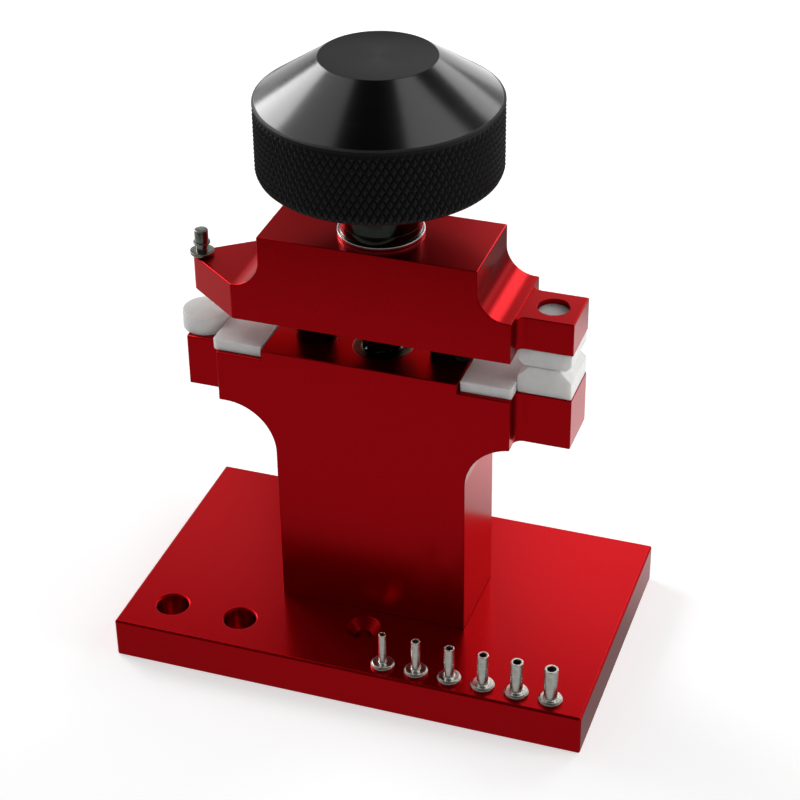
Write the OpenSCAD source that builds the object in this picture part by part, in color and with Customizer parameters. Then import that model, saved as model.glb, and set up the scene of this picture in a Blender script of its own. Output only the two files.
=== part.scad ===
/* [Base plate] */
// Width of the base plate, left to right
base_w = 100; // [96:0.5:120]
// Depth of the base plate, front to back
base_d = 60; // [58:0.5:80]
// Thickness of the base plate
base_t = 9; // [8.6:0.1:14]
// Chamfer along the edges of the base plate
base_chamfer = 0.4; // [0.1:0.1:0.8]
// How far the working plane of post, jaw and knob lies in front of the middle of the plate
plane_forward = 0.7; // [0:0.1:1.5]
// Diameter of the two die pockets
pocket_d = 6.6; // [6.4:0.1:8]
// Depth of the die pockets
pocket_depth = 6.5; // [4:0.1:7]
// Chamfer round the mouth of a die pocket
pocket_chamfer = 0.3; // [0.1:0.1:0.6]
// Distance from the left edge of the plate to the first pocket
pocket_from_left = 9.4; // [6:0.1:12]
// Distance between the two pockets
pocket_pitch = 15.2; // [11:0.1:18]
// Distance from the front edge of the plate to the pockets
pocket_from_front = 8.8; // [6:0.1:12]
// Diameter of the holes for the bench screws
bench_hole_d = 3.2; // [2.5:0.1:4.2]
// Diameter of the countersink of a bench hole
bench_sink_d = 7.3; // [6:0.1:9]
// Distance from the face of the post to a bench hole
bench_from_post = 5.6; // [5:0.1:7]

/* [Post] */
// Width of the post's column
post_w = 39.8; // [38:0.1:42]
// Depth of the post, front to back
post_d = 19.5; // [18:0.1:22]
// Height of the post above the base plate
post_h = 57.3; // [54:0.1:70]
// Thickness of the post's head and lugs
head_t = 11.1; // [10:0.1:14]
// How far the middle of the head rises above the seats of the pads
head_raise = 2; // [1:0.1:3]
// Reach of the head to the left of the spindle's axis
head_left = 31.8; // [30:0.1:33]
// Reach of the head to the right of the spindle's axis
head_right = 28.9; // [28.1:0.1:29.5]
// Radius of the coves under the head
cove_r = 10.5; // [8:0.1:11]
// How far the left lug runs on past the axis of the disc
lug_past_disc = 2.1; // [1.9:0.1:4]
// How far the right lugs of post and jaw run on past the axis of the dies
lug_past_die = 5.5; // [4:0.1:7]
// Depth of the post's lugs, front to back
lug_d = 11.3; // [9:0.1:13]
// Radius in the corners beside the lugs
lug_fillet = 1.8; // [0.5:0.1:2.5]

/* [Upper jaw] */
// Height of the jaw
jaw_h = 18.9; // [17:0.1:24]
// Depth of the jaw, front to back
jaw_d = 19.6; // [18:0.1:22]
// Reach of the jaw's top to the left
jaw_top_left = 21.9; // [20.5:0.1:23]
// Reach of the jaw's top to the right
jaw_top_right = 22.2; // [20.5:0.1:23]
// Reach of the jaw's body to the left, where the nose starts
jaw_left = 27.8; // [26:0.1:30]
// Radius of the coves at the shoulders of the jaw
jaw_cove_r = 6; // [4:0.1:7]
// Thickness of the nose, up to the left shoulder
nose_h = 7.6; // [6.5:0.1:10]
// Height of the right shoulder above the underside of the jaw
shoulder_h = 8.6; // [8.4:0.1:10]
// Radius of the nose's tip about its stake
nose_tip_r = 1.8; // [1.6:0.1:2.4]
// Depth of the jaw's lug, front to back
jaw_lug_d = 11; // [9:0.1:13]
// Thickness of the jaw's lug
jaw_lug_t = 6.9; // [5:0.1:7]
// Height of the underside of the lug above the underside of the jaw
jaw_lug_raise = 1.25; // [0.5:0.05:1.4]
// How far the jaw lifts
jaw_travel = 10; // [6:0.5:11]

/* [Nylon pieces] */
// Width of the pads on the post's head
pad_w = 10.3; // [8:0.1:11]
// Depth of the pads, front to back
pad_d = 17.6; // [16:0.1:18]
// Thickness of the pads
pad_t = 2.3; // [1.5:0.1:4]
// How far the left pad stands out past the end of the head
pad_overhang = 1.1; // [0:0.1:1.2]
// Gap between a pad and the raised middle of the head
pad_gap = 0.3; // [0.1:0.1:0.6]
// Chamfer on the outer corners of the left pad
pad_corner_left = 0.6; // [0.1:0.1:2]
// Chamfer on the outer corners of the right pad
pad_corner_right = 0.2; // [0.1:0.1:2]
// Diameter of the left disc
disc_d = 9.6; // [8:0.1:10]
// Gap between the left pad and the disc
disc_from_pad = 0.1; // [0.1:0.1:1]
// Height of the left disc above its lug
disc_h = 3.8; // [2:0.1:5]
// Width of the lower right die
die_low_w = 10.8; // [9:0.1:11]
// Height of the lower right die above its lug
die_low_h = 6; // [4:0.1:7]
// Depth of the lower right die, front to back
die_low_d = 11; // [8:0.1:11]
// Chamfer on the upper edges of the lower right die
die_low_chamfer = 2.3; // [0.5:0.1:3]
// Width of the upper right die
die_top_w = 10.6; // [9:0.1:11]
// Height of the upper right die under its lug
die_top_h = 3.6; // [2:0.1:5]
// Chamfer on the lower edges of the upper right die
die_top_chamfer = 1.1; // [0.3:0.1:1.8]
// Gap between the upper right die and the end of the jaw's body
die_from_jaw = 0.3; // [0.2:0.1:1]
// Diameter of the shanks of the right dies
die_shank_d = 6.2; // [5:0.1:6.6]
// How far the shank of the upper right die ends below the top of its lug
die_shank_short = 1; // [0.5:0.1:2]
// Length of the shank of the lower right die
die_shank_l = 9; // [5:0.1:10]
// Diameter of the pegs under the pads and the disc
peg_d = 3; // [2:0.1:3.4]
// Length of the pegs under the pads and the disc
peg_l = 4.5; // [3:0.1:7]

/* [Spindle and guides] */
// Diameter of the spindle's thread
thread_d = 8; // [6:0.1:8.2]
// Diameter of the spindle where it turns in the jaw
journal_d = 8.4; // [8.3:0.1:9]
// Diameter of the spindle's upper end
stem_d = 7.4; // [6:0.1:8]
// Distance between the head of the post and the end of the journal above it
journal_above_head = 0.8; // [0.5:0.1:4]
// How far the stem reaches into the knob
stem_in_knob = 12; // [8:0.1:16]
// Outer diameter of the threaded bush
bush_d = 12; // [11:0.1:13]
// Length of the threaded bush
bush_l = 22; // [14:0.5:24]
// Diameter of the guide pillars
pillar_d = 8.2; // [7:0.1:9]
// Distance from the spindle's axis to a guide pillar
pillar_x = 14; // [12.5:0.1:14.3]
// How deep a guide pillar sits in the post
pillar_seat = 23.3; // [16:0.1:26]
// Jaw left above the bore of a guide pillar
pillar_roof = 1.8; // [1:0.1:3]
// Outer diameter of the retaining ring
clip_d = 12.4; // [11:0.1:13]
// Thickness of the retaining ring
clip_t = 1; // [0.6:0.1:1.4]
// Diameter of the spindle in the groove of the retaining ring
clip_groove_d = 7.2; // [6:0.1:7.6]
// Width of the opening in the retaining ring
clip_opening = 5; // [3:0.1:6]
// Chamfer on the ends of the spindle
spindle_chamfer = 0.6; // [0.2:0.1:1]
// Depth of the recess round the retaining ring
clip_recess = 2; // [1.8:0.1:3]

/* [Knob] */
// Diameter of the knob
knob_d = 47.1; // [40:0.1:52]
// Height of the knurled skirt
skirt_h = 14.7; // [10:0.1:18]
// Height of the cone above the skirt
cone_h = 8.3; // [6:0.1:12]
// Diameter of the flat top of the knob
knob_top_d = 22.3; // [16:0.1:30]
// Chamfer round the lower edge of the knob
knob_chamfer = 0.8; // [0.3:0.1:1.5]
// Diameter of the collar and the bearing ring
collar_d = 16.1; // [12:0.1:17]
// Height of the collar
collar_h = 10.5; // [6:0.1:14]
// Height of the bearing ring
ring_h = 1.8; // [1:0.1:3]
// Diameter of the thrust washer
washer_d = 17; // [14:0.1:19]
// Thickness of the thrust washer
washer_t = 0.8; // [0.7:0.1:1.5]
// Chamfer on the edges of washer, ring and collar
turned_chamfer = 0.25; // [0.1:0.05:0.3]

/* [Stakes] */
// Distance between stakes
stake_pitch = 7; // [5.5:0.1:7.4]
// Distance from the right edge of the plate to the last stake
stake_from_right = 7.2; // [4:0.1:8]
// Distance from the front edge of the plate to the stakes
stake_from_front = 3.8; // [3.2:0.1:5]
// Diameter of a stake's flange
flange_d = 4.9; // [4.2:0.1:5.2]
// Thickness of a stake's flange
flange_t = 0.9; // [0.5:0.1:1.5]
// Height of a stake's tube
tube_h = 7; // [5:0.1:7.2]
// Outer diameter of the thinnest tube
tube_d_first = 1.6; // [1.4:0.05:1.8]
// Step in outer diameter from one tube to the next
tube_d_step = 0.24; // [0.1:0.02:0.3]
// Bore of the thinnest tube
bore_d_first = 1.05; // [0.7:0.05:1.1]
// Step in bore from one tube to the next
bore_d_step = 0.155; // [0.05:0.005:0.18]
// Depth of the bore of a tube
bore_depth = 6; // [3:0.1:6.5]
// Outer diameter of the tube of the stake in the nose
nose_tube_d = 2; // [1.6:0.1:2.2]
// Bore of the tube of the stake in the nose
nose_bore_d = 1.3; // [0.8:0.1:1.4]
// Diameter of a stake's shank
shank_d = 2.75; // [2.6:0.05:3]
// Length of a stake's shank
shank_l = 4.6; // [4:0.1:6]
// Diameter of the neck between flange and lip
neck_d = 2.4; // [1.8:0.1:2.5]
// Diameter of the lip that grips the hole
lip_d = 3.4; // [3.2:0.05:3.6]
// Thickness of the lip
lip_t = 0.35; // [0.2:0.05:0.6]
// Distance from the flange to the lip
lip_from_flange = 1.6; // [1:0.1:2]
// Chamfer on the end of a stake's shank
shank_chamfer = 0.3; // [0.1:0.05:0.5]

/* [Post screws] */
// Diameter of the screws that hold the post
screw_d = 5; // [4:0.1:5.5]
// Distance between the two screws
screw_pitch = 24; // [18:0.5:28]
// Diameter of a screw's head
screw_head_d = 8.5; // [7:0.1:9]
// Height of a screw's head
screw_head_h = 5; // [3:0.1:5.5]
// Length of a screw under its head
screw_l = 16; // [12:0.5:20]
// Width across the flats of a screw's hexagon socket
socket_w = 4; // [2.5:0.1:5]
// Depth of a screw's hexagon socket
socket_depth = 2.5; // [1:0.1:2.8]
// How far a screw's head lies inside the base plate
screw_sunk = 0.3; // [0.1:0.1:0.5]

/* [Clearances] */
// Radial clearance of what slides or turns
run_clear = 0.05; // [0.02:0.01:0.08]
// Radial clearance of what is pressed or pushed in for good
push_clear = 0.02; // [0.01:0.01:0.04]
// Clearance round what passes freely
free_clear = 0.5; // [0.3:0.1:0.8]
// Gap between the right dies with the jaw closed
closed_gap = 0.2; // [0.1:0.1:1]
// Gap between nylon pieces that lie side by side
side_gap = 0.1; // [0.05:0.05:0.3]
// Room past the end of a blind hole's filling
end_room = 0.5; // [0.2:0.1:1]

/* [Hidden] */

$fn = 96;
// Overlap of cutting shapes past the faces they cut
cut = 0.01;
// Stakes in the row, one node each
stake_n = 6;

// Distances from the spindle's axis to the left disc and stake, to the right dies,
// and to what ends or starts beside them
left_axis = head_left + pad_overhang + disc_from_pad + disc_d / 2;
right_axis = head_right + side_gap + die_low_w / 2;
left_lug_end = left_axis + lug_past_disc;
right_lug_end = right_axis + lug_past_die;
jaw_right = right_axis - die_top_w / 2 - die_from_jaw;
pad_left_x = head_left + pad_overhang - pad_w / 2;
pad_right_x = head_right - pad_w / 2;
raised_left = pad_left_x - pad_w / 2 - pad_gap;
raised_right = pad_right_x - pad_w / 2 - pad_gap;

// Heights of the main faces, from the underside of the base plate
head_z = base_t + post_h;
head_top_z = head_z + head_raise;
jaw_z = head_z + die_low_h + closed_gap + die_top_h - jaw_lug_raise;
jaw_top_z = jaw_z + jaw_h;
nose_z = jaw_z + nose_h;
jaw_lug_z = jaw_z + jaw_lug_raise;
journal_top_z = jaw_top_z + washer_t + run_clear;
collar_z = journal_top_z + ring_h;
knob_z = collar_z + collar_h;
journal_z = head_top_z + journal_above_head;
bush_z = head_top_z - bush_l;
spindle_z = bush_z - jaw_travel - end_room;
pillar_z = head_top_z - pillar_seat;
pillar_top_z = jaw_top_z - pillar_roof - end_room;
clip_z = jaw_z + clip_recess - run_clear - clip_t;
stem_top_z = knob_z + stem_in_knob;
screw_tip_z = screw_sunk + screw_head_h + screw_l;

// Places on the base plate
pocket_x = pocket_from_left - base_w / 2;
pocket_y = pocket_from_front - base_d / 2;
bench_y = post_d / 2 + bench_from_post;
stake_y = stake_from_front - base_d / 2;
stake_last_x = base_w / 2 - stake_from_right;
stake_hole_depth = shank_l + end_room;
lip_room_depth = lip_from_flange + lip_t + end_room;

// Angle of the nose's flank, the tangent from the jaw's corner to the round tip
nose_run = left_axis - jaw_left;
nose_slant = atan2(jaw_d / 2, nose_run) - asin(nose_tip_r / norm([nose_run, jaw_d / 2]));

function stake_x(i) = stake_last_x - (stake_n - i) * stake_pitch;
function tube_d(i) = tube_d_first + (i - 1) * tube_d_step;
function bore_d(i) = bore_d_first + (i - 1) * bore_d_step;

// Moves to the working plane, at a height above the underside of the base plate
module on_plane(x = 0, z = 0) {
    translate([x, -plane_forward, z]) children();
}

// Stands a front-view outline (x, z) up and gives it a depth about the working plane
module upright(depth, z = 0) {
    on_plane(0, z)
        translate([0, depth / 2, 0])
            rotate([90, 0, 0])
                linear_extrude(depth) children();
}

// Rectangle with chamfered corners, centred
module chamfered_rect(w, h, c) {
    polygon([
        [-w / 2 + c, -h / 2],
        [w / 2 - c, -h / 2],
        [w / 2, -h / 2 + c],
        [w / 2, h / 2 - c],
        [w / 2 - c, h / 2],
        [-w / 2 + c, h / 2],
        [-w / 2, h / 2 - c],
        [-w / 2, -h / 2 + c],
    ]);
}

// Block with all its edges chamfered, standing on z = 0
module chamfered_block(w, d, h, c) {
    intersection() {
        linear_extrude(h) chamfered_rect(w, d, c);
        translate([0, d / 2, h / 2])
            rotate([90, 0, 0])
                linear_extrude(d) chamfered_rect(w, h, c);
        translate([-w / 2, 0, h / 2])
            rotate([90, 0, 90])
                linear_extrude(w) chamfered_rect(d, h, c);
    }
}

// Turned ring with chamfered outer edges, standing on z = 0
module turned_ring(d, bore, h, c) {
    rotate_extrude()
        polygon([
            [bore / 2, 0],
            [d / 2 - c, 0],
            [d / 2, c],
            [d / 2, h - c],
            [d / 2 - c, h],
            [bore / 2, h],
        ]);
}

// Plan of a lug that runs from x = from to x = to, with hollow corners where it starts
module lug_plan(from, to, depth, fillet) {
    difference() {
        union() {
            translate([from - fillet, -depth / 2]) square([to - from + fillet, depth]);
            translate([from - fillet, -depth / 2 - fillet]) square([2 * fillet, depth + 2 * fillet]);
        }
        for (side = [-1, 1])
            translate([from + fillet, side * (depth / 2 + fillet)]) circle(r = fillet);
    }
}

// Stake with its flange's seat on z = 0: the tube points up, the shank down
module stake(outer_d, bore) {
    color("silver")
        rotate_extrude()
            polygon([
                [0, -shank_l],
                [shank_d / 2 - shank_chamfer, -shank_l],
                [shank_d / 2, -shank_l + shank_chamfer],
                [shank_d / 2, -lip_from_flange - lip_t],
                [lip_d / 2, -lip_from_flange - lip_t],
                [lip_d / 2, -lip_from_flange],
                [neck_d / 2, -lip_from_flange],
                [neck_d / 2, 0],
                [flange_d / 2, 0],
                [flange_d / 2, flange_t * 2 / 3],
                [flange_d / 2 - flange_t / 3, flange_t],
                [outer_d / 2, flange_t],
                [outer_d / 2, flange_t + tube_h],
                [bore / 2, flange_t + tube_h],
                [bore / 2, flange_t + tube_h - bore_depth],
                [0, flange_t + tube_h - bore_depth],
            ]);
}

// Stepped hole for the shank of a stake, its mouth on z = 0
module stake_hole() {
    translate([0, 0, -stake_hole_depth])
        cylinder(d = shank_d + 2 * run_clear, h = stake_hole_depth + cut);
    translate([0, 0, -lip_room_depth])
        cylinder(d = lip_d + 2 * run_clear, h = lip_room_depth + cut);
}

// Stake number i of the row in the base plate
module row_stake(i) {
    translate([stake_x(i), stake_y, base_t]) stake(tube_d(i), bore_d(i));
}

// Pocket for a spare die, its mouth on z = 0
module die_pocket() {
    translate([0, 0, -pocket_depth]) cylinder(d = pocket_d, h = pocket_depth + cut);
    translate([0, 0, -pocket_chamfer])
        cylinder(d1 = pocket_d, d2 = pocket_d + 2 * pocket_chamfer + 2 * cut, h = pocket_chamfer + cut);
}

// Countersunk through hole for a bench screw, its mouth on z = 0
module bench_hole() {
    sink = (bench_sink_d - bench_hole_d) / 2;
    translate([0, 0, -base_t - cut]) cylinder(d = bench_hole_d, h = base_t + 2 * cut);
    translate([0, 0, -sink]) cylinder(d1 = bench_hole_d, d2 = bench_sink_d + 2 * cut, h = sink + cut);
}

// Hole and counterbore for a post screw, through the base plate
module post_screw_hole() {
    translate([0, 0, -cut]) cylinder(d = screw_d + free_clear, h = base_t + 2 * cut);
    translate([0, 0, -cut]) cylinder(d = screw_head_d + free_clear, h = screw_sunk + screw_head_h + cut);
}

module post_screw() {
    difference() {
        union() {
            cylinder(d = screw_head_d, h = screw_head_h);
            cylinder(d = screw_d, h = screw_head_h + screw_l);
        }
        translate([0, 0, -cut]) cylinder(d = socket_w / cos(30), h = socket_depth + cut, $fn = 6);
    }
}

module base_plate() {
    color("firebrick")
        difference() {
            chamfered_block(base_w, base_d, base_t, base_chamfer);
            for (i = [0, 1])
                translate([pocket_x + i * pocket_pitch, pocket_y, base_t]) die_pocket();
            for (side = [-1, 1]) {
                on_plane(0, base_t) translate([0, side * bench_y, 0]) bench_hole();
                on_plane(side * screw_pitch / 2) post_screw_hole();
            }
            for (i = [1 : stake_n])
                translate([stake_x(i), stake_y, base_t]) stake_hole();
        }
}

// What a cutter of radius r takes away beside a wall: its own round, and all beyond it
module cove_cut(r) {
    circle(r = r);
    translate([0, -r]) square([left_lug_end, 2 * r]);
}

// Front view of the post, on z = 0: column, head and the coves between them
module post_outline() {
    cove_z = post_h - head_t - cove_r;
    difference() {
        union() {
            translate([-post_w / 2, 0]) square([post_w, post_h]);
            translate([-head_left, cove_z]) square([head_left + head_right, post_h - cove_z]);
            translate([-raised_left, cove_z])
                square([raised_left + raised_right, post_h + head_raise - cove_z]);
        }
        for (side = [-1, 1])
            mirror([side < 0 ? 1 : 0, 0]) translate([post_w / 2 + cove_r, cove_z]) cove_cut(cove_r);
    }
}

module post() {
    color("firebrick")
        difference() {
            union() {
                upright(post_d, base_t) post_outline();
                on_plane(0, head_z - head_t) {
                    linear_extrude(head_t) lug_plan(head_right, right_lug_end, lug_d, lug_fillet);
                    mirror([1, 0, 0])
                        linear_extrude(head_t) lug_plan(head_left, left_lug_end, lug_d, lug_fillet);
                }
            }
            on_plane(0, bush_z) cylinder(d = bush_d + 2 * push_clear, h = bush_l + cut);
            on_plane(0, spindle_z - end_room)
                cylinder(d = thread_d + 2 * free_clear, h = head_z - spindle_z);
            for (side = [-1, 1]) {
                on_plane(side * pillar_x, pillar_z)
                    cylinder(d = pillar_d + 2 * push_clear, h = pillar_seat + cut);
                on_plane(side * screw_pitch / 2, base_t - cut)
                    cylinder(d = screw_d + 2 * push_clear, h = screw_tip_z - base_t + end_room + cut);
            }
            on_plane(right_axis, head_z - die_shank_l - end_room)
                cylinder(d = die_shank_d + 2 * push_clear, h = die_shank_l + end_room + cut);
            for (x = [-left_axis, -pad_left_x, pad_right_x])
                on_plane(x, head_z - peg_l - end_room)
                    cylinder(d = peg_d + 2 * push_clear, h = peg_l + end_room + cut);
        }
}

module post_screws() {
    color("dimgray")
        for (side = [-1, 1])
            on_plane(side * screw_pitch / 2, screw_sunk) post_screw();
}

module threaded_bush() {
    color("goldenrod")
        on_plane(0, bush_z)
            difference() {
                cylinder(d = bush_d, h = bush_l);
                translate([0, 0, -cut]) cylinder(d = thread_d + 2 * run_clear, h = bush_l + 2 * cut);
            }
}

module guide_pillar(side) {
    color("silver")
        on_plane(side * pillar_x, pillar_z)
            cylinder(d = pillar_d, h = pillar_top_z - pillar_z);
}

module guide_pillar_left() {
    guide_pillar(-1);
}

module guide_pillar_right() {
    guide_pillar(1);
}

// Pad about its peg, its outer end with corners c towards -x, on z = 0
module pad(c) {
    color("whitesmoke") {
        linear_extrude(pad_t)
            polygon([
                [-pad_w / 2, -pad_d / 2 + c],
                [-pad_w / 2 + c, -pad_d / 2],
                [pad_w / 2, -pad_d / 2],
                [pad_w / 2, pad_d / 2],
                [-pad_w / 2 + c, pad_d / 2],
                [-pad_w / 2, pad_d / 2 - c],
            ]);
        translate([0, 0, -peg_l]) cylinder(d = peg_d, h = peg_l + cut);
    }
}

module pad_left() {
    on_plane(-pad_left_x, head_z) pad(pad_corner_left);
}

module pad_right() {
    on_plane(pad_right_x, head_z) mirror([1, 0, 0]) pad(pad_corner_right);
}

module disc_left() {
    color("whitesmoke")
        on_plane(-left_axis, head_z) {
            cylinder(d = disc_d, h = disc_h);
            translate([0, 0, -peg_l]) cylinder(d = peg_d, h = peg_l + cut);
        }
}

// Bar of width w and height h, centred front to back, on z = 0, its upper edges chamfered
module chamfered_bar(w, depth, h, c) {
    translate([0, depth / 2, 0])
        rotate([90, 0, 0])
            linear_extrude(depth)
                polygon([
                    [-w / 2, 0],
                    [w / 2, 0],
                    [w / 2, h - c],
                    [w / 2 - c, h],
                    [-w / 2 + c, h],
                    [-w / 2, h - c],
                ]);
}

module die_lower_right() {
    color("whitesmoke")
        on_plane(right_axis, head_z) {
            chamfered_bar(die_low_w, die_low_d, die_low_h, die_low_chamfer);
            translate([0, 0, -die_shank_l]) cylinder(d = die_shank_d, h = die_shank_l + cut);
        }
}

// Front view of the jaw, on z = 0, with the coves at its shoulders
module jaw_outline() {
    difference() {
        union() {
            translate([-jaw_top_left, 0]) square([jaw_top_left + jaw_top_right, jaw_h]);
            translate([-jaw_left, 0]) square([jaw_left, nose_h + jaw_cove_r]);
            square([jaw_right, shoulder_h + jaw_cove_r]);
        }
        mirror([1, 0]) translate([jaw_top_left + jaw_cove_r, nose_h + jaw_cove_r]) cove_cut(jaw_cove_r);
        translate([jaw_top_right + jaw_cove_r, shoulder_h + jaw_cove_r]) cove_cut(jaw_cove_r);
    }
}

// Plan of the nose: flanks from the jaw's corners, tangent to the round tip
module nose_plan() {
    tip = [-left_axis - nose_tip_r * sin(nose_slant), nose_tip_r * cos(nose_slant)];
    polygon([
        [-jaw_left + cut, -jaw_d / 2],
        [-jaw_left + cut, jaw_d / 2],
        [-jaw_left, jaw_d / 2],
        tip,
        [-left_axis, 0],
        [tip.x, -tip.y],
        [-jaw_left, -jaw_d / 2],
    ]);
    translate([-left_axis, 0]) circle(r = nose_tip_r);
}

module upper_jaw() {
    color("firebrick")
        difference() {
            union() {
                upright(jaw_d, jaw_z) jaw_outline();
                on_plane(0, jaw_z) linear_extrude(nose_h) nose_plan();
                on_plane(0, jaw_lug_z)
                    linear_extrude(jaw_lug_t) lug_plan(jaw_right, right_lug_end, jaw_lug_d, lug_fillet);
            }
            on_plane(0, jaw_z - cut) {
                cylinder(d = journal_d + 2 * run_clear, h = jaw_h + 2 * cut);
                cylinder(d = clip_d + 2 * free_clear, h = clip_recess + cut);
            }
            for (side = [-1, 1])
                on_plane(side * pillar_x, jaw_z - cut)
                    cylinder(d = pillar_d + 2 * run_clear, h = jaw_h - pillar_roof + cut);
            on_plane(-left_axis, jaw_z - cut)
                cylinder(d = nose_tube_d + 2 * run_clear, h = nose_h + 2 * cut);
            on_plane(right_axis, jaw_lug_z - cut)
                cylinder(d = die_shank_d + 2 * push_clear, h = jaw_lug_t + 2 * cut);
        }
}

module die_upper_right() {
    color("whitesmoke")
        on_plane(right_axis, jaw_lug_z) {
            rotate([180, 0, 0]) chamfered_bar(die_top_w, jaw_lug_d, die_top_h, die_top_chamfer);
            translate([0, 0, -cut]) cylinder(d = die_shank_d, h = jaw_lug_t - die_shank_short + cut);
        }
}

module thrust_washer() {
    color("silver")
        on_plane(0, jaw_top_z) turned_ring(washer_d, journal_d + 2 * run_clear, washer_t, turned_chamfer);
}

module spindle() {
    color("silver")
        on_plane()
            rotate_extrude()
                polygon([
                    [0, spindle_z],
                    [thread_d / 2 - spindle_chamfer, spindle_z],
                    [thread_d / 2, spindle_z + spindle_chamfer],
                    [thread_d / 2, journal_z],
                    [journal_d / 2, journal_z + (journal_d - thread_d) / 2],
                    [journal_d / 2, clip_z - run_clear],
                    [clip_groove_d / 2, clip_z - run_clear],
                    [clip_groove_d / 2, clip_z + clip_t + run_clear],
                    [journal_d / 2, clip_z + clip_t + run_clear],
                    [journal_d / 2, journal_top_z],
                    [stem_d / 2, journal_top_z],
                    [stem_d / 2, stem_top_z - spindle_chamfer],
                    [stem_d / 2 - spindle_chamfer, stem_top_z],
                    [0, stem_top_z],
                ]);
}

module retaining_ring() {
    color("dimgray")
        on_plane(0, clip_z)
            difference() {
                cylinder(d = clip_d, h = clip_t);
                translate([0, 0, -cut]) cylinder(d = clip_groove_d + 2 * push_clear, h = clip_t + 2 * cut);
                translate([-clip_opening / 2, 0, -cut]) cube([clip_opening, clip_d, clip_t + 2 * cut]);
            }
}

module bearing_ring() {
    color("silver")
        on_plane(0, journal_top_z)
            turned_ring(collar_d, stem_d + 2 * push_clear, ring_h, turned_chamfer);
}

module knob_collar() {
    color("silver")
        on_plane(0, collar_z)
            turned_ring(collar_d, stem_d + 2 * push_clear, collar_h, turned_chamfer);
}

module knob() {
    color("black")
        on_plane(0, knob_z)
            difference() {
                rotate_extrude()
                    polygon([
                        [0, 0],
                        [knob_d / 2 - knob_chamfer, 0],
                        [knob_d / 2, knob_chamfer],
                        [knob_d / 2, skirt_h],
                        [knob_top_d / 2, skirt_h + cone_h],
                        [0, skirt_h + cone_h],
                    ]);
                translate([0, 0, -cut])
                    cylinder(d = stem_d + 2 * push_clear, h = stem_in_knob + end_room + cut);
            }
}

module stake_1() {
    row_stake(1);
}

module stake_2() {
    row_stake(2);
}

module stake_3() {
    row_stake(3);
}

module stake_4() {
    row_stake(4);
}

module stake_5() {
    row_stake(5);
}

module stake_6() {
    row_stake(6);
}

module nose_stake() {
    on_plane(-left_axis, nose_z + flange_t)
        rotate([180, 0, 0])
            stake(nose_tube_d, nose_bore_d);
}

base_plate();
post();
post_screws();
threaded_bush();
guide_pillar_left();
guide_pillar_right();
pad_left();
pad_right();
disc_left();
die_lower_right();
upper_jaw();
die_upper_right();
thrust_washer();
spindle();
retaining_ring();
bearing_ring();
knob_collar();
knob();
stake_1();
stake_2();
stake_3();
stake_4();
stake_5();
stake_6();
nose_stake();
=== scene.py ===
import math

import bmesh
import bpy
import numpy as np
from mathutils import Matrix, Vector


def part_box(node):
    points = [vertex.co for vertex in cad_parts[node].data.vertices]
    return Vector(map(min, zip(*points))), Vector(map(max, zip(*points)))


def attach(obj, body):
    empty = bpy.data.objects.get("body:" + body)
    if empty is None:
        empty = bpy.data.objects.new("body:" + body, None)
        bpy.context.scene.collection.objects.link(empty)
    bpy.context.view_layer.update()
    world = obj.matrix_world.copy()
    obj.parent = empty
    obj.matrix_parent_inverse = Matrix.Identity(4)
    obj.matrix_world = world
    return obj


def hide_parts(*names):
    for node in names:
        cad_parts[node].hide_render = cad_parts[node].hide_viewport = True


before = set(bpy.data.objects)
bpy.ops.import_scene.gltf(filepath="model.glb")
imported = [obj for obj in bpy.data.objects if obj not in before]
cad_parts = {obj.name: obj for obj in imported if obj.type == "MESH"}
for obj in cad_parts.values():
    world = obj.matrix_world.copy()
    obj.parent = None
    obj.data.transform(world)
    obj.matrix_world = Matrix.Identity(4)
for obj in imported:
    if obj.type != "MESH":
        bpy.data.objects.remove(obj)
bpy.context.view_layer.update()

MM = 0.001

# Camera: solved from edges and corners of the tool in the photograph
LENS = 97.753
SENSOR = 36.0
AZIMUTH = 19.304
ELEVATION = 32.689
ROLL = -0.797
TARGET = (0.0, 0.0, 45.0)
OFFSET = (2.778, 8.333, 441.55)

# Sizes of the CAD model that the bounds of its nodes don't give, in mm
PUSH, RUN = 0.02, 0.05          # clearances of what is pushed in, and of what slides or turns
PLANE_Y = -0.7                  # working plane of post, jaw and knob
LEFT_X, RIGHT_X = -37.8, 34.4   # axes of the disc and the nose's stake, and of the right dies
PEGS_X = (-27.75, 23.75)        # axes of the pads' pegs
PILLAR_X = 14.0                 # from the spindle to a pillar
PEG_R = 1.5
DIE_SHANK_R = 3.1
PILLAR_R = 4.1
RECESS_R = 6.7                  # recess under the jaw for the retaining ring
PLATE_TOP = 9.0
LUG_TOP = 66.3                  # top of the post's lugs

# Sizes of the spindle and of what turns with it or round it
THREAD_R = 4.0
JOURNAL_R = 4.2
STEM_R = 3.7
STEM_END_R = 3.1                # inside the chamfer on the stem's end
STEM_CHAMFER = 0.6
GROOVE_R = 3.6                  # in the retaining ring's groove
GROOVE_Z = (75.75, 76.85)
JOURNAL_Z = (69.1, 94.6)
BUSH_R, BUSH_BORE_R = 6.0, 4.05
WASHER_R = 8.5

# Sizes of a stake
SHANK_R = 1.375
SHANK_L = 4.6
LIP_R = 1.7
LIP_FROM_FLANGE = 1.6
LIP_T = 0.35
NECK_R = 1.2
FLANGE_R = 2.45
FLANGE_T = 0.9
FLANGE_EDGE_R = 2.1             # where the flange's slope begins
FLANGE_EDGE_T = 0.55
TUBE_H = 7.0
BORE_DEPTH = 6.0
TUBE_D, TUBE_D_STEP = 1.6, 0.24
BORE_D, BORE_D_STEP = 1.05, 0.155
NOSE_TUBE_R, NOSE_BORE_R = 1.0, 0.65
NOSE_SEAT = 83.35               # the flange's seat on the nose's stake, which stands on its head

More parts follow.
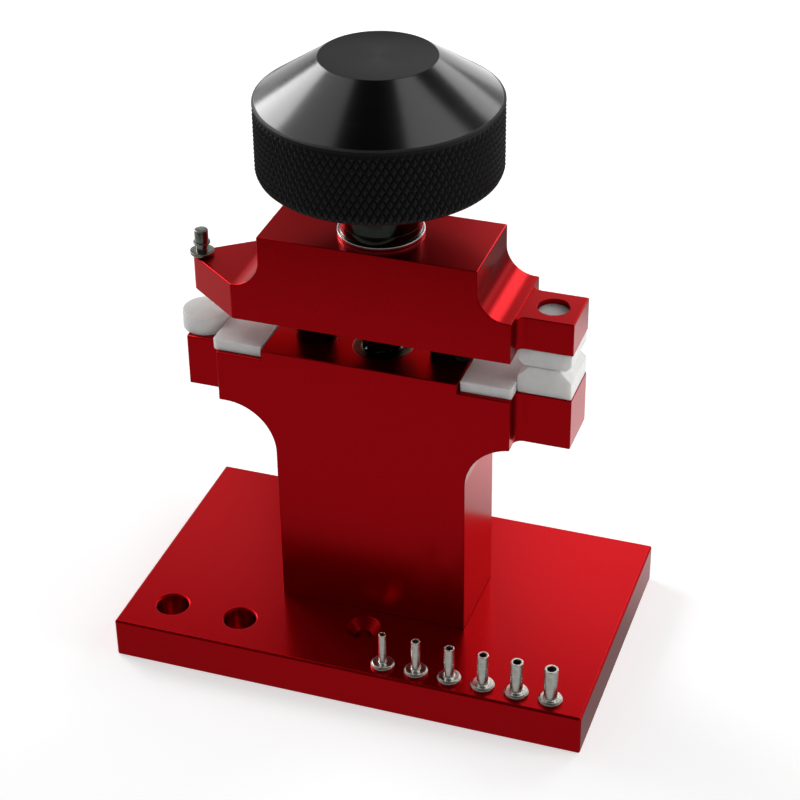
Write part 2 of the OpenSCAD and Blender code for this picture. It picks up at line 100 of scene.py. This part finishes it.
# Bevels and welds of the pieces that keep their node's mesh, in mm
RED_BEVEL = 0.2
PLATE_BEVEL = 0.09
RIM_BEVEL = 0.1                 # round the holes
NYLON_BEVEL = 0.18
SCREW_BEVEL = 0.15
THIN_BEVEL = 0.1
RIM_NEAR = 0.06                 # how near a point of a rim lies to its circle
WELD = 0.002
FLAT = math.radians(0.3)
SHARP = math.radians(28)
KNOB_SHARP = math.radians(20)

# Knob and its knurl
SKIRT_H = 14.7
KNOB_TOP_R = 11.15
KNOB_BORE_DEPTH = 12.5
KNOB_BORE_CHAMFER = 0.3
KNURL_ROUND = 98                # diamonds round the skirt
KNURL_PITCH = 2.66              # height of a diamond
KNURL_DEPTH = 0.5
KNURL_LOW = 0.8                 # end of the lower chamfer, above the underside of the knob
KNURL_TOP = 13.95               # end of the knurl
KNURL_FADE = 1.2                # slope at the upper end of the knurl
KNURL_LIFT = 0.02               # from the last row below the knurl to its first
BAND_INSET = 0.05               # the plain band above the knurl lies inside its crests
BAND_LIFT = (0.2, 0.3)          # where the band's lower edge begins and ends above the knurl
KNURL_AWAY = (22.9, 23.1)       # distance from the axis at which the knurl's finish begins
KNURL_ROUGH = 0.42              # how much rougher the knurl is than the cone
STEPS = 4                       # mesh steps in a diamond, each way

# Thread of the spindle
THREAD_PITCH = 1.25
THREAD_DEPTH = 0.72
THREAD_STEPS = 8                # mesh steps in a turn's height
THREAD_SLOPE, THREAD_ROOT = 1.25, 0.12
THREAD_START, THREAD_END = 0.5, 0.4     # plain lengths at the tip and below the journal
RUN_IN, RUN_OUT = 1.2, 0.9              # heights over which the thread fades
TIP_CHAMFER_R, TIP_CHAMFER_Z = 0.2, 0.3
SHOULDER_CHAMFER = 0.2                  # below and above the shoulder of the journal

# Painted reflection of the floor: the glow that gloss sees in place of the lit floor, as (mm from the tool,
# level), from front to back
FLOOR_PAINTED_REFLECTION = ((-400, 0.04), (-190, 0.05), (-160, 0.52), (-35, 0.42), (-15, 0.33), (12, 0.36),
                (40, 0.85), (65, 1.45), (95, 1.3), (128, 1.4), (150, 0.2), (400, 0.2))
# The glow of the floor that keeps it white to the camera, by the distance from the tool in mm
FLOOR_LIFT = ((0, 0.55), (300, 0.55), (700, 1.0), (2000, 1.0))
FLOOR_REACH = 20.0              # half the floor's width, in m

# Glowing sheets that only gloss sees: name, corners in mm, levels by height and from side to side
PANELS = (
    ("back_panel", ((-190, 200, 60), (35, 200, 60), (35, 200, 320), (-190, 200, 320)),
     ((60, 1.6), (184, 1.75), (195, 0.85), (203, 0.3), (219, 0.62), (232, 0.62), (320, 0.1)),
     ((-190, 0.6), (-125, 0.63), (-50, 0.95), (35, 1.05))),
    # A dim patch of it: painted shade in what the post's head under the jaw reflects
    ("gap_shade_panel", ((-108, 197, 100), (-42, 197, 100), (-42, 197, 203), (-108, 197, 203)),
     ((100, 0.1), (190, 0.1), (203, 0.2)), ((-108, 1.0), (-42, 1.0))),
    # A glowing patch just over the floor: a painted highlight in the flank of the nose
    ("nose_highlight_panel", ((-230, -35, 1), (-110, -35, 1), (-110, 45, 1), (-230, 45, 1)),
     ((0, 0.75), (2, 0.75)), ((-230, 1.0), (-110, 1.0))),
)

# Lamps: name, direction from the tool, distance, width and height in m, radiance, rays that see it
LAMPS = (
    ("key", (-0.79, 0.28, 0.54), 0.7, 0.3, 0.3, 7.0, "diffuse"),
    ("left_gloss", (-0.80, 0.38, 0.46), 0.8, 0.32, 0.4, 9.0, "glossy"),
    ("left_soft", (-0.6, 0.0, 0.8), 0.8, 0.4, 0.5, 1.7, "glossy"),
    ("fill", (0.44, 0.79, 0.42), 0.8, 0.25, 0.3, 4.5, "diffuse"),
    ("fill_gloss", (0.27, 0.82, 0.46), 0.8, 0.36, 0.24, 3.3, "glossy"),
    ("over_gloss", (0.46, 0.2, 0.86), 0.8, 0.36, 0.5, 2.4, "glossy"),
    ("side", (0.95, 0.1, 0.25), 0.7, 0.4, 0.4, 4.0, "diffuse"),
)
LAMP_AIM = 0.08                 # height of the point that the lamps face, in m

# Levels of the world by the height of a ray's direction
WORLD_RISE = ((0.0, 1.1), (0.14, 1.0), (0.2, 0.6), (0.45, 0.42), (0.7, 0.16), (1.0, 0.05))
# Gloss sees the world dimmed in front, by these shares between these depths of a ray's direction
FRONT_SHARES = (0.45, 1.0)
FRONT_DEPTHS = (-0.5, 0.1)


# ---- Mesh helpers

def add_object(name, bm):
    """Makes an object of a mesh and puts it in the scene."""
    mesh = bpy.data.meshes.new(name)
    bm.to_mesh(mesh)
    bm.free()
    added = bpy.data.objects.new(name, mesh)
    bpy.context.scene.collection.objects.link(added)
    return added


def finish_piece(name, bm, material, body, node, place=(0, 0), sharp=SHARP):
    """Makes the object, shades it smooth up to its sharp edges, and hangs it in the frame."""
    bmesh.ops.recalc_face_normals(bm, faces=bm.faces)
    for face in bm.faces:
        face.smooth = True
    for edge in bm.edges:
        edge.smooth = len(edge.link_faces) != 2 or edge.calc_face_angle(0) < sharp
    piece = add_object(name, bm)
    piece.location = (place[0] * MM, place[1] * MM, 0)
    piece.data.materials.append(material)
    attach(piece, body)
    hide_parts(node)
    return piece


def bounds_mm(node):
    low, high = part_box(node)
    return low / MM, high / MM


def radius_of(node):
    low, high = bounds_mm(node)
    return (high.x - low.x) / 2


def rounded(points, steps=4):
    """Turns (r, z, radius) corners into a line with each corner rounded."""
    out = []
    last = len(points) - 1
    for i, (r, z, radius) in enumerate(points):
        here = Vector((r, z))
        if radius == 0 or i in (0, last):
            out.append(here)
            continue
        back = (Vector(points[i - 1][:2]) - here).normalized()
        ahead = (Vector(points[i + 1][:2]) - here).normalized()
        reach = radius / math.tan(back.angle(ahead) / 2)
        start, end = here + back * reach, here + ahead * reach
        for k in range(steps + 1):
            t = k / steps
            out.append(start * (1 - t) ** 2 + here * 2 * t * (1 - t) + end * t ** 2)
    return out


def ring(radius, z, count):
    """One row of a turned mesh: a radius, or one for each step round."""
    angle = np.arange(count) * (2 * math.pi / count)
    radius = np.broadcast_to(radius, count)
    return np.stack([radius * np.cos(angle), radius * np.sin(angle), np.full(count, z)], 1) * MM


def skin(bm, rows, closed, split=None):
    """Joins rows of points into a skin. An open skin gets a point on the axis at each end."""
    count = len(rows[0])
    verts = [[bm.verts.new(p) for p in row] for row in rows]
    pairs = list(zip(range(len(rows) - 1), range(1, len(rows))))
    if closed:
        pairs.append((len(rows) - 1, 0))
    for a, b in pairs:
        for i in range(count):
            k = (i + 1) % count
            quad = (verts[a][i], verts[a][k], verts[b][k], verts[b][i])
            way = split(a, i) if split else 0
            if way == 0:
                bm.faces.new(quad)
            elif way == 1:
                bm.faces.new(quad[:3])
                bm.faces.new((quad[0], quad[2], quad[3]))
            else:
                bm.faces.new((quad[0], quad[1], quad[3]))
                bm.faces.new(quad[1:])
    if not closed:
        for row in (verts[0], verts[-1]):
            middle = bm.verts.new((0, 0, row[0].co.z))
            for i in range(count):
                bm.faces.new((row[i], row[(i + 1) % count], middle))


def turned(name, points, material, body, node, x=0.0, y=PLANE_Y, count=96, closed=False, flip=None):
    """A turned piece from (r, z, corner radius) points in mm; closed for one with a bore."""
    if closed:
        line = rounded([points[-1]] + list(points) + [points[0]])[1:-1]
    else:
        line = rounded(points)
    if flip is not None:
        line = [Vector((p.x, flip - p.y)) for p in line]
    bm = bmesh.new()
    skin(bm, [ring(p.x, p.y, count) for p in line], closed)
    return finish_piece(name, bm, material, body, node, (x, y))


def sleeve(name, node, material, body, bore, outer, corners, count=96):
    """A turned ring as high as its node, with corner radii from the bore's foot round to its top."""
    low, high = bounds_mm(node)
    places = ((bore, low.z), (outer, low.z), (outer, high.z), (bore, high.z))
    turned(name, [(*place, corner) for place, corner in zip(places, corners)],
           material, body, node, closed=True, count=count)


def on_rim(vert, rims):
    """Whether a point lies on one of the round holes (x, radius) of the working plane, in mm."""
    p = vert.co / MM
    return any(abs(math.hypot(p.x - x, p.y - PLANE_Y) - r) < RIM_NEAR for x, r in rims)


def milled(name, node, material, body, width, rims=()):
    """A copy of a CAD node's mesh, with its flat faces joined and its outer edges bevelled."""
    bm = bmesh.new()
    bm.from_mesh(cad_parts[node].data)
    bmesh.ops.remove_doubles(bm, verts=bm.verts, dist=WELD * MM)
    bmesh.ops.dissolve_limit(bm, angle_limit=FLAT, verts=bm.verts, edges=bm.edges)
    weight = bm.edges.layers.float.new("bevel_weight_edge")
    for edge in bm.edges:
        if len(edge.link_faces) != 2 or edge.calc_face_angle(0) < SHARP or not edge.is_convex:
            continue
        rim = all(on_rim(v, rims) for v in edge.verts)
        edge[weight] = min(1.0, RIM_BEVEL / width) if rim else 1.0
    piece = finish_piece(name, bm, material, body, node)
    bevel = piece.modifiers.new("edges", "BEVEL")
    bevel.limit_method = "WEIGHT"
    bevel.width = width * MM
    bevel.segments = 3
    bevel.use_clamp_overlap = False
    bevel.miter_outer = "MITER_ARC"
    normals = piece.modifiers.new("normals", "WEIGHTED_NORMAL")
    normals.keep_sharp = True
    return piece


# ---- Materials

class Nodes:
    """A node tree with a few short ways to add nodes."""

    def __init__(self, tree):
        self.tree = tree

    def node(self, kind, values=None, **settings):
        node = self.tree.nodes.new("ShaderNode" + kind)
        for key, value in settings.items():
            setattr(node, key, value)
        for key, value in (values or {}).items():
            if isinstance(value, bpy.types.NodeSocket):
                self.tree.links.new(value, node.inputs[key])
            else:
                node.inputs[key].default_value = value
        return node

    def math(self, operation, a, b):
        return self.node("Math", {0: a, 1: b}, operation=operation).outputs[0]

    def parts(self, vector):
        """The X, Y and Z of a vector."""
        return self.node("SeparateXYZ", {0: vector}).outputs

    def spread(self, value, low, high, start=0.3, end=0.7):
        """A value from start to end, spread from low to high."""
        values = {"Value": value, "From Min": start, "From Max": end, "To Min": low, "To Max": high}
        return self.node("MapRange", values).outputs["Result"]

    def blend(self, factor, a, b):
        """A mix of two colours, each given or from a node."""
        a, b = (v if isinstance(v, bpy.types.NodeSocket) else (*v, 1) for v in (a, b))
        return self.node("Mix", {"Factor": factor, "A": a, "B": b}, data_type="RGBA").outputs["Result"]

    def levels(self, value, stops):
        """Levels at the values given, straight between them."""
        low, high = stops[0][0], stops[-1][0]
        ramp = self.node("ValToRGB", {0: self.spread(value, 0, 1, low, high)})
        elements = ramp.color_ramp.elements
        for i, (at, level) in enumerate(stops):
            stop = elements[i] if i < 2 else elements.new(1.0)
            stop.position = (at - low) / (high - low)
            stop.color = (level, level, level, 1)
        return ramp.outputs["Color"]


class Material(Nodes):
    """A material on the Principled shader, in one of the record's slots."""

    def __init__(self, slot, name=None):
        self.material = bpy.data.materials.new(name or slot)
        self.material["slot"] = slot
        self.material.use_nodes = True
        super().__init__(self.material.node_tree)
        self.shader = self.tree.nodes["Principled BSDF"]

    def set(self, **values):
        for key, value in values.items():
            self.shader.inputs[key.replace("_", " ")].default_value = value

    def link(self, output, name):
        self.tree.links.new(output, self.shader.inputs[name])

    def coords(self):
        """Object coordinates in mm."""
        place = self.node("TexCoord").outputs["Object"]
        return self.node("VectorMath", {0: place, "Scale": 1 / MM}, operation="SCALE").outputs[0]

    def turned_coords(self):
        """Distance from the piece's own axis and height, in mm: streaks that run round it."""
        parts = self.parts(self.coords())
        flat = self.node("CombineXYZ", {0: parts[0], 1: parts[1]})
        away = self.node("VectorMath", {0: flat.outputs[0]}, operation="LENGTH").outputs["Value"]
        return self.node("CombineXYZ", {0: away, 2: parts[2]}).outputs[0]

    def noise(self, coords, scale, detail=3.0, roughness=0.55):
        values = {"Vector": coords, "Scale": scale, "Detail": detail, "Roughness": roughness}
        return self.node("TexNoise", values).outputs["Fac"]

    def tint(self, pattern, a, b):
        self.link(self.blend(self.spread(pattern, 0, 1), a, b), "Base Color")

    def rough(self, pattern, low, high):
        self.link(self.spread(pattern, low, high), "Roughness")

    def brushed(self, amount):
        """Stretches the highlights as fine turning marks do."""
        self.set(Anisotropic=amount)
        self.link(self.node("Tangent", axis="Z").outputs[0], "Tangent")

    def bump(self, height, strength, depth):
        values = {"Height": height, "Strength": strength, "Distance": depth * MM}
        self.link(self.node("Bump", values).outputs["Normal"], "Normal")


def red_anodised():
    m = Material("red_anodised")
    grain = m.noise(m.coords(), 5.0, 4.0, 0.6)
    m.tint(grain, (0.42, 0.0, 0.002), (0.54, 0.0, 0.006))
    m.rough(grain, 0.27, 0.33)
    m.set(Metallic=1.0, Specular_Tint=(0.6, 0.5, 0.5, 1), Coat_Weight=1.0, Coat_Roughness=0.2, Coat_IOR=1.12)
    m.bump(m.noise(m.coords(), 3.0, 3.0, 0.7), 0.16, 0.03)
    return m.material


def black_anodised():
    m = Material("black_anodised")
    streak = m.noise(m.turned_coords(), 9.0, 4.0, 0.7)
    cloud = m.noise(m.coords(), 0.4, 3.0)
    m.tint(cloud, (0.0004, 0.0006, 0.0004), (0.001, 0.0012, 0.001))
    away = m.parts(m.turned_coords())["X"]
    knurl = m.spread(away, 0, KNURL_ROUGH, *KNURL_AWAY)
    m.link(m.math("ADD", m.spread(streak, 0.13, 0.2), knurl), "Roughness")
    m.set(Metallic=0.0, IOR=1.42)
    m.brushed(0.5)
    m.bump(streak, 0.05, 0.02)
    return m.material


def steel(slot, light, dark, rough, scale, name=None):
    m = Material(slot, name)
    streak = m.noise(m.turned_coords(), scale, 4.0, 0.7)
    m.tint(m.noise(m.coords(), 0.7, 3.0), light, dark)
    m.rough(streak, *rough)
    m.set(Metallic=1.0)
    m.brushed(0.5)
    m.bump(streak, 0.03, 0.015)
    return m.material


def nylon():
    m = Material("nylon")
    grain = m.noise(m.coords(), 4.0, 3.0)
    m.tint(m.noise(m.coords(), 0.5, 3.0), (0.80, 0.80, 0.78), (0.86, 0.86, 0.84))
    m.rough(grain, 0.34, 0.44)
    m.set(IOR=1.5, Subsurface_Weight=0.7, Subsurface_Radius=(1.0, 0.9, 0.85), Subsurface_Scale=3 * MM)
    m.bump(grain, 0.05, 0.02)
    return m.material


def dark_steel():
    m = Material("dark_steel")
    grain = m.noise(m.coords(), 6.0, 3.0)
    m.tint(grain, (0.05, 0.05, 0.055), (0.09, 0.09, 0.09))
    m.rough(grain, 0.35, 0.5)
    m.set(Metallic=1.0)
    m.bump(grain, 0.1, 0.02)
    return m.material


RED = red_anodised()
BLACK = black_anodised()
NYLON = nylon()
# Polished steel painted dark: painted shade for the dark surroundings that it reflects and for the shade
# under the jaw and the knob. The bright copy below has the steel's own colour.
POLISHED_PAINTED_DARK = steel("polished_steel", (0.035, 0.04, 0.032), (0.022, 0.026, 0.02), (0.10, 0.2), 7.0)
BRIGHT = steel("polished_steel", (0.62, 0.61, 0.59), (0.55, 0.54, 0.52), (0.14, 0.24), 7.0, "bright_steel")
# Bronze painted dark: painted shade for the bush in the gap under the jaw.
BRONZE_PAINTED_DARK = steel("bronze", (0.12, 0.08, 0.035), (0.08, 0.05, 0.02), (0.22, 0.34), 7.0)
SATIN = steel("satin_steel", (0.74, 0.73, 0.68), (0.5, 0.5, 0.45), (0.2, 0.34), 8.0)
NOSE = steel("satin_steel", (0.3, 0.3, 0.27), (0.16, 0.17, 0.15), (0.2, 0.34), 8.0, "nose_steel")
DARK = dark_steel()


# ---- Pieces of the tool

def build_red():
    """Base plate, post and jaw."""
    pillars = [(side * PILLAR_X, PILLAR_R + clear) for side in (-1, 1) for clear in (PUSH, RUN)]
    die = (RIGHT_X, DIE_SHANK_R + PUSH)
    pegs = [(x, PEG_R + PUSH) for x in (LEFT_X, *PEGS_X)]
    post_rims = pillars + pegs + [die, (0, BUSH_R + PUSH)]
    jaw_rims = pillars + [die, (0, RECESS_R), (0, JOURNAL_R + RUN), (LEFT_X, NOSE_TUBE_R + RUN)]
    milled("base_body", "base_plate", RED, "stand", PLATE_BEVEL)
    milled("post_body", "post", RED, "stand", RED_BEVEL, post_rims)
    milled("jaw_body", "upper_jaw", RED, "jaw", RED_BEVEL, jaw_rims)


def build_nylon():
    """Pads, dies and disc."""
    milled("pad_left_body", "pad_left", NYLON, "stand", NYLON_BEVEL)
    milled("pad_right_body", "pad_right", NYLON, "stand", NYLON_BEVEL)
    milled("die_lower_body", "die_lower_right", NYLON, "stand", NYLON_BEVEL)
    milled("die_upper_body", "die_upper_right", NYLON, "jaw", NYLON_BEVEL)
    low, high = bounds_mm("disc_left")
    radius = radius_of("disc_left")
    turned("disc_body", [(0, low.z, 0), (PEG_R, low.z, 0.3), (PEG_R, LUG_TOP, 0), (radius, LUG_TOP, 0.2),
                         (radius, high.z, 0.35), (0, high.z, 0)],
           NYLON, "stand", "disc_left", (low.x + high.x) / 2, count=72)


def tri(x):
    """Triangle wave: 0 at whole numbers, 1 half way between them."""
    x = x % 1.0
    return 1 - np.abs(2 * x - 1)


def crest(x):
    """Height of a knurl's flank: steep near the groove, flatter near the crest."""
    t = tri(x)
    return np.where(t < 0.5, 1.3 * t, 0.65 + 0.7 * (t - 0.5))


def knurl_split(steps, bottom):
    """Which way each cell of the knurl is cut, so that the cuts run along the grooves."""
    def way(row, i):
        j = row - bottom
        if j < 0 or j >= steps:
            return 0
        a, b = (i + j + 1) / STEPS, (i - j) / STEPS
        return 2 if tri(a) < tri(b) else 1
    return way


def build_knob():
    """From the bore down, round the chamfer, up the knurl and over the cone."""
    low, high = bounds_mm("knob")
    radius, base, top = radius_of("knob"), low.z, high.z
    count = KNURL_ROUND * STEPS
    bore, groove, band = STEM_R + PUSH, radius - KNURL_DEPTH, radius - BAND_INSET
    mouth = bore + KNOB_BORE_CHAMFER
    start = KNURL_LOW - KNURL_DEPTH
    foot = rounded([(mouth, base, 0), (radius - KNURL_LOW, base, 0.15), (groove, base + start, 0)])[1:]
    rows = [ring(bore, base + KNOB_BORE_DEPTH, count), ring(bore, base + KNOB_BORE_CHAMFER, count),
            ring(mouth, base, count)]
    rows += [ring(p.x, p.y, count) for p in foot]
    bottom = len(rows)
    steps = int(round((KNURL_TOP - start) / (KNURL_PITCH / STEPS)))
    start += KNURL_LIFT
    rise = (KNURL_TOP - start) / steps
    u = np.arange(count) / STEPS
    for j in range(steps + 1):
        z = start + j * rise
        w = j / STEPS
        height = np.minimum(crest(u + w), crest(u - w)) * KNURL_DEPTH
        limit = min(KNURL_DEPTH, max(0.0, z - start), max(0.0, (KNURL_TOP - z) * KNURL_FADE))
        rows.append(ring(groove + np.minimum(height, limit), base + z, count))
    knurl_top = base + KNURL_TOP
    cone = rounded([(groove, knurl_top, 0), (groove, knurl_top + BAND_LIFT[0], 0.05),
                    (band, knurl_top + BAND_LIFT[1], 0.1), (band, base + SKIRT_H, 0.18),
                    (KNOB_TOP_R, top, 0.22), (0.6, top, 0)])[1:]
    rows += [ring(p.x, p.y, count) for p in cone]
    bm = bmesh.new()
    skin(bm, rows, False, knurl_split(steps, bottom))
    finish_piece("knob_body", bm, BLACK, "screw", "knob", (0, PLANE_Y), KNOB_SHARP)


def build_spindle():
    """The thread from the tip up, then the journal with its groove, and the stem."""
    low, high = bounds_mm("spindle")
    tip, (shoulder, journal_top) = low.z, JOURNAL_Z
    root = THREAD_R - THREAD_DEPTH
    count = 64
    turn = np.arange(count) / count
    rows = [ring(root - TIP_CHAMFER_R, tip, count), ring(root, tip + TIP_CHAMFER_Z, count)]
    steps = int((shoulder - THREAD_END - tip - THREAD_START) / THREAD_PITCH * THREAD_STEPS)
    for j in range(steps + 1):
        z = tip + THREAD_START + j * THREAD_PITCH / THREAD_STEPS
        flank = THREAD_SLOPE * tri(z / THREAD_PITCH - turn) - THREAD_ROOT
        limit = min(1.0, (z - tip) / RUN_IN, (shoulder - z) / RUN_OUT)
        rows.append(ring(root + THREAD_DEPTH * np.minimum(np.clip(flank, 0, 1), limit), z, count))
    line = rounded([(root, shoulder - SHOULDER_CHAMFER, 0), (THREAD_R, shoulder, 0),
                    (JOURNAL_R, shoulder + SHOULDER_CHAMFER, 0.1),
                    (JOURNAL_R, GROOVE_Z[0], 0.05), (GROOVE_R, GROOVE_Z[0], 0),
                    (GROOVE_R, GROOVE_Z[1], 0), (JOURNAL_R, GROOVE_Z[1], 0.05),
                    (JOURNAL_R, journal_top, 0.1), (STEM_R, journal_top, 0),
                    (STEM_R, high.z - STEM_CHAMFER, 0.1), (STEM_END_R, high.z, 0.1), (0.3, high.z, 0)])
    rows += [ring(p.x, p.y, count) for p in line]
    bm = bmesh.new()
    skin(bm, rows, False)
    finish_piece("spindle_body", bm, POLISHED_PAINTED_DARK, "screw", "spindle", (0, PLANE_Y))


def build_turned():
    """Pillars, bush, washer, ring and collar."""
    for side, name in ((-1, "left"), (1, "right")):
        node = "guide_pillar_" + name
        low, high = bounds_mm(node)
        turned("pillar_" + name, [(0, low.z, 0), (PILLAR_R, low.z, 0.4),
                                  (PILLAR_R, high.z, 0.4), (0, high.z, 0)],
               POLISHED_PAINTED_DARK, "stand", node, side * PILLAR_X)
    radius = radius_of("bearing_ring")
    sleeve("bush_body", "threaded_bush", BRONZE_PAINTED_DARK, "stand", BUSH_BORE_R, BUSH_R, (0.2, 0.25, 0.25, 0.35))
    sleeve("washer_body", "thrust_washer", BRIGHT, "jaw", JOURNAL_R + RUN, WASHER_R,
           (0.1, 0.2, 0.22, 0.1), 128)
    sleeve("bearing_body", "bearing_ring", POLISHED_PAINTED_DARK, "screw", STEM_R + PUSH, radius,
           (0.1, 0.2, 0.15, 0.1), 128)
    sleeve("collar_body", "knob_collar", POLISHED_PAINTED_DARK, "screw", STEM_R + PUSH, radius,
           (0.1, 0.15, 0.25, 0.1), 128)


def stake_line(seat, tube, bore):
    """A stake's outline with its flange's seat at the height given; the tube points up."""
    lip, lip_foot = seat - LIP_FROM_FLANGE, seat - LIP_FROM_FLANGE - LIP_T
    top = seat + FLANGE_T + TUBE_H
    return [(0, seat - SHANK_L, 0), (SHANK_R, seat - SHANK_L, 0.3), (SHANK_R, lip_foot, 0),
            (LIP_R, lip_foot, 0.1), (LIP_R, lip, 0.1), (NECK_R, lip, 0), (NECK_R, seat, 0),
            (FLANGE_R, seat, 0.12), (FLANGE_R, seat + FLANGE_EDGE_T, 0.18),
            (FLANGE_EDGE_R, seat + FLANGE_T, 0.2), (tube, seat + FLANGE_T, 0.16),
            (tube, top, 0.12), (bore, top, 0.07), (bore, top - BORE_DEPTH, 0), (0, top - BORE_DEPTH, 0)]


def build_stakes():
    for i in range(6):
        node = "stake_%d" % (i + 1)
        low, high = bounds_mm(node)
        tube, bore = (TUBE_D + i * TUBE_D_STEP) / 2, (BORE_D + i * BORE_D_STEP) / 2
        turned(node + "_body", stake_line(PLATE_TOP, tube, bore), SATIN, "loose_" + node, node,
               (low.x + high.x) / 2, (low.y + high.y) / 2, count=64)
    turned("nose_stake_body", stake_line(0.0, NOSE_TUBE_R, NOSE_BORE_R), NOSE, "loose_nose_stake",
           "nose_stake", LEFT_X, PLANE_Y, count=64, flip=NOSE_SEAT)


def build_hidden():
    """Post screws and retaining ring."""
    milled("post_screws_body", "post_screws", DARK, "stand", SCREW_BEVEL)
    milled("retaining_body", "retaining_ring", DARK, "screw", THIN_BEVEL)


# ---- Camera, light and floor

def build_camera():
    az, el, roll = (math.radians(v) for v in (AZIMUTH, ELEVATION, ROLL))
    back = Vector((math.sin(az) * math.cos(el), -math.cos(az) * math.cos(el), math.sin(el)))
    right = Vector((math.cos(az), math.sin(az), 0))
    up = back.cross(right)
    x_axis = right * math.cos(roll) + up * math.sin(roll)
    y_axis = up * math.cos(roll) - right * math.sin(roll)
    place = Vector(TARGET) + x_axis * OFFSET[0] + y_axis * OFFSET[1] + back * OFFSET[2]
    data = bpy.data.cameras.new("photo_camera")
    data.lens, data.sensor_width = LENS, SENSOR
    camera = bpy.data.objects.new("photo_camera", data)
    turn = Matrix((x_axis, y_axis, back)).transposed().to_4x4()
    camera.matrix_world = Matrix.Translation(place * MM) @ turn
    bpy.context.scene.collection.objects.link(camera)
    bpy.context.scene.camera = camera


def softbox(name, towards, distance, width, height, radiance, seen_by):
    """An area light seen from the tool in the direction given, with its own brightness."""
    data = bpy.data.lights.new(name, "AREA")
    data.shape = "RECTANGLE"
    data.size, data.size_y = width, height
    data.energy = radiance * math.pi * width * height
    light = bpy.data.objects.new(name, data)
    way = Vector(towards).normalized()
    light.location = way * distance + Vector((0, 0, LAMP_AIM))
    light.rotation_euler = way.to_track_quat("Z", "Y").to_euler()
    light.visible_camera = False
    light.visible_glossy = seen_by == "glossy"
    light.visible_diffuse = seen_by == "diffuse"
    bpy.context.scene.collection.objects.link(light)


def build_world():
    """White to the camera; to the tool pale near the horizon and dark overhead, and to gloss dim in front."""
    world = bpy.data.worlds.new("studio")
    bpy.context.scene.world = world
    world.use_nodes = True
    w = Nodes(world.node_tree)
    path = w.node("LightPath").outputs
    way = w.parts(w.node("TexCoord").outputs["Generated"])
    share = w.math("MAXIMUM", w.spread(way["Y"], *FRONT_SHARES, *FRONT_DEPTHS), path["Is Diffuse Ray"])
    glow = w.node("VectorMath", {0: w.levels(way["Z"], WORLD_RISE), "Scale": share}, operation="SCALE")
    seen = w.blend(path["Is Camera Ray"], glow.outputs[0], (1, 1, 1))
    w.tree.links.new(seen, w.tree.nodes["Background"].inputs["Color"])


def build_panel(name, corners, rise, across):
    """A glowing sheet that only shows in what is glossy."""
    bm = bmesh.new()
    bm.faces.new([bm.verts.new(Vector(p) * MM) for p in corners])
    sheet = add_object(name, bm)
    m = Material(name)
    m.set(Base_Color=(0, 0, 0, 1), Specular_IOR_Level=0.0, Emission_Color=(1, 1, 1, 1))
    place = m.parts(m.coords())
    m.link(m.math("MULTIPLY", m.levels(place["Z"], rise), m.levels(place["X"], across)), "Emission Strength")
    sheet.data.materials.append(m.material)
    sheet.visible_camera = sheet.visible_diffuse = sheet.visible_shadow = False


def build_floor():
    """A pale floor that takes the shadow: lifted to white for camera and glass; for gloss a painted
    reflection, its own glow levels in place of its lit shade.
    """
    bm = bmesh.new()
    bmesh.ops.create_grid(bm, x_segments=2, y_segments=2, size=FLOOR_REACH)
    floor = add_object("floor", bm)
    m = Material("floor")
    m.set(Roughness=0.9, Specular_IOR_Level=0.0, Emission_Color=(1, 1, 1, 1))
    path = m.node("LightPath").outputs
    glossy = path["Is Glossy Ray"]
    m.link(m.blend(glossy, (0.8, 0.8, 0.8), (0, 0, 0)), "Base Color")
    seen = m.math("MAXIMUM", path["Is Camera Ray"], path["Is Transmission Ray"])
    away = m.node("VectorMath", {0: m.coords()}, operation="LENGTH").outputs["Value"]
    lift = m.math("MULTIPLY", seen, m.levels(away, FLOOR_LIFT))
    # Painted reflection: what gloss sees of the floor comes from these glow levels, not from light on it.
    painted_reflection = m.math("MULTIPLY", glossy, m.levels(m.parts(m.coords())["Y"], FLOOR_PAINTED_REFLECTION))
    m.link(m.math("ADD", lift, painted_reflection), "Emission Strength")
    floor.data.materials.append(m.material)


build_camera()
build_red()
build_nylon()
build_knob()
build_spindle()
build_turned()
build_stakes()
build_hidden()
build_world()
build_floor()
for row in PANELS:
    build_panel(*row)
for row in LAMPS:
    softbox(*row)

bpy.context.scene.view_settings.view_transform = "Standard"
